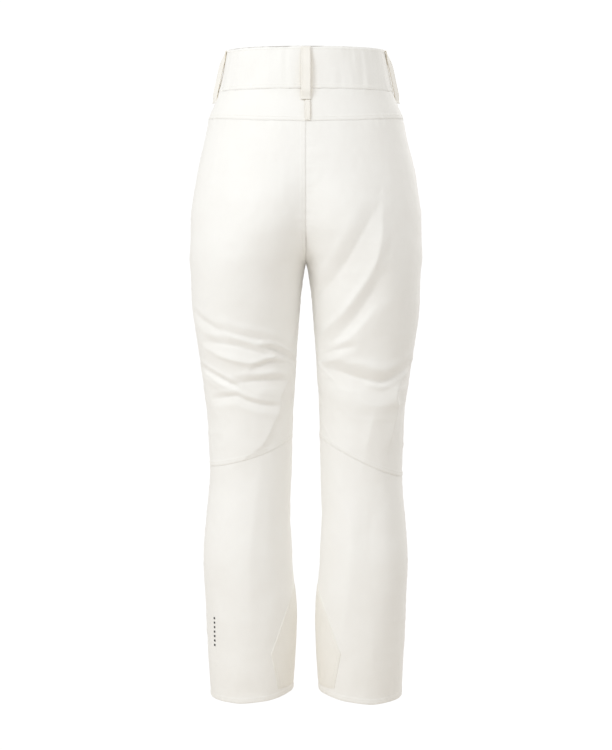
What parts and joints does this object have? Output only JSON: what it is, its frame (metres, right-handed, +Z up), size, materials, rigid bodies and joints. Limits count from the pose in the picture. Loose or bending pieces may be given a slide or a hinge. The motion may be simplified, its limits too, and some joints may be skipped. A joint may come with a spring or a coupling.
{
  "type": "ski pants",
  "caption": "Insulated off-white ski pants in worn shape: elasticated waist with belt loops, fly and hand-pocket zips, slanted knee seams, snow gaiters and inner-ankle scuff guards.",
  "frame": {"origin": "centre of the waist opening, level with the waistband's top edge", "axes": "+Z up towards the waist, -Y the wearer's front, +Y the back, +X the wearer's left"},
  "size_m": [0.3826, 0.2549, 1.07],
  "materials": {
    "shell": "off-white woven polyester, satin",
    "lining": "light grey taffeta",
    "facing": "brushed tricot",
    "elastic": "ribbed woven elastic",
    "webbing": "off-white shell cloth, folded and stitched",
    "scuff_cloth": "warm white coated oxford weave",
    "gaiter_cloth": "grey taffeta",
    "zip_tape": "herringbone tape",
    "zip_teeth": "moulded acetal",
    "zip_metal": "off-white enamel on die-cast zinc",
    "zip_pull": "moulded soft grip",
    "snap": "satin nickel",
    "print": "transfer print"
  },
  "bodies": {
    "hips": {"waistband_back": "shell", "waistband_front_left": "shell", "waistband_front_right": "shell", "waist_facing_left": "facing", "waist_facing_right": "facing", "waist_elastic_left": "elastic", "waist_elastic_right": "elastic", "back_yoke_left": "shell", "back_yoke_right": "shell", "seat_back_left": "shell", "seat_back_right": "shell", "seat_front_left": "shell", "seat_front_right": "shell", "seat_lining_left": "lining", "seat_lining_right": "lining", "belt_loop_back": "webbing", "belt_loop_side_left": "webbing", "belt_loop_side_right": "webbing", "belt_loop_front_left": "webbing", "belt_loop_front_right": "webbing", "back_hook_tab": "webbing", "fly_zip_tapes": "zip_tape", "fly_zip_teeth": "zip_teeth", "fly_guard": "lining", "pocket_zip_tapes_left": "zip_tape", "pocket_zip_tapes_right": "zip_tape", "pocket_zip_teeth_left": "zip_teeth", "pocket_zip_teeth_right": "zip_teeth", "pocket_bag_left": "lining", "pocket_bag_right": "lining", "snap_studs": "snap"},
    "thigh_left": {"thigh_back_left": "shell", "thigh_front_left": "shell", "thigh_lining_left": "lining"},
    "shin_left": {"lower_leg_back_left": "shell", "lower_leg_front_left": "shell", "lower_leg_lining_left": "lining", "scuff_guard_left": "scuff_cloth", "snow_gaiter_left": "gaiter_cloth", "gaiter_elastic_left": "elastic", "ankle_mark": "print"},
    "thigh_right": {"thigh_back_right": "shell", "thigh_front_right": "shell", "thigh_lining_right": "lining"},
    "shin_right": {"lower_leg_back_right": "shell", "lower_leg_front_right": "shell", "lower_leg_lining_right": "lining", "scuff_guard_right": "scuff_cloth", "snow_gaiter_right": "gaiter_cloth", "gaiter_elastic_right": "elastic"},
    "fly_slider": {"fly_slider": "zip_metal"},
    "fly_pull": {"fly_pull": "zip_pull"},
    "pocket_slider_left": {"pocket_slider_left": "zip_metal"},
    "pocket_pull_left": {"pocket_pull_left": "zip_pull"},
    "pocket_slider_right": {"pocket_slider_right": "zip_metal"},
    "pocket_pull_right": {"pocket_pull_right": "zip_pull"},
    "waist_tab": {"waist_tab": "shell", "snap_caps": "snap"}
  },
  "joints": [
    {"name": "hip_left", "type": "hinge", "parent": "hips", "child": "thigh_left", "pos_m": [0.0957, -0.108, -0.362], "axis": [-1, 0, 0], "range_deg": [0, 95]},
    {"name": "knee_left", "type": "hinge", "parent": "thigh_left", "child": "shin_left", "pos_m": [0.0915, 0.078, -0.706], "axis": [1, 0, 0], "range_deg": [0, 110]},
    {"name": "hip_right", "type": "hinge", "parent": "hips", "child": "thigh_right", "pos_m": [-0.0957, -0.108, -0.362], "axis": [-1, 0, 0], "range_deg": [0, 95]},
    {"name": "knee_right", "type": "hinge", "parent": "thigh_right", "child": "shin_right", "pos_m": [-0.0915, 0.078, -0.706], "axis": [1, 0, 0], "range_deg": [0, 110]},
    {"name": "fly_zip", "type": "slide", "parent": "hips", "child": "fly_slider", "axis": [0, -0.0603, -0.9982], "range_m": [0, 0.145]},
    {"name": "fly_pull_hinge", "type": "hinge", "parent": "fly_slider", "child": "fly_pull", "pos_m": [0, -0.10676, -0.07869], "axis": [-1, 0, 0], "range_deg": [0, 150]},
    {"name": "pocket_zip_left", "type": "slide", "parent": "hips", "child": "pocket_slider_left", "axis": [0.1727, -0.0831, -0.9815], "range_m": [0, 0.095]},
    {"name": "pocket_pull_hinge_left", "type": "hinge", "parent": "pocket_slider_left", "child": "pocket_pull_left", "pos_m": [0.1392, -0.05867, -0.10959], "axis": [-0.6792, -0.7317, -0.0575], "range_deg": [0, 150]},
    {"name": "pocket_zip_right", "type": "slide", "parent": "hips", "child": "pocket_slider_right", "axis": [-0.1727, -0.0831, -0.9815], "range_m": [0, 0.095]},
    {"name": "pocket_pull_hinge_right", "type": "hinge", "parent": "pocket_slider_right", "child": "pocket_pull_right", "pos_m": [-0.1392, -0.05867, -0.10959], "axis": [-0.6792, 0.7317, 0.0575], "range_deg": [0, 150]},
    {"name": "waist_tab_hinge", "type": "hinge", "parent": "hips", "child": "waist_tab", "pos_m": [0.004, -0.10132, -0.035], "axis": [0, 0, 1], "range_deg": [0, 120]}
  ]
}
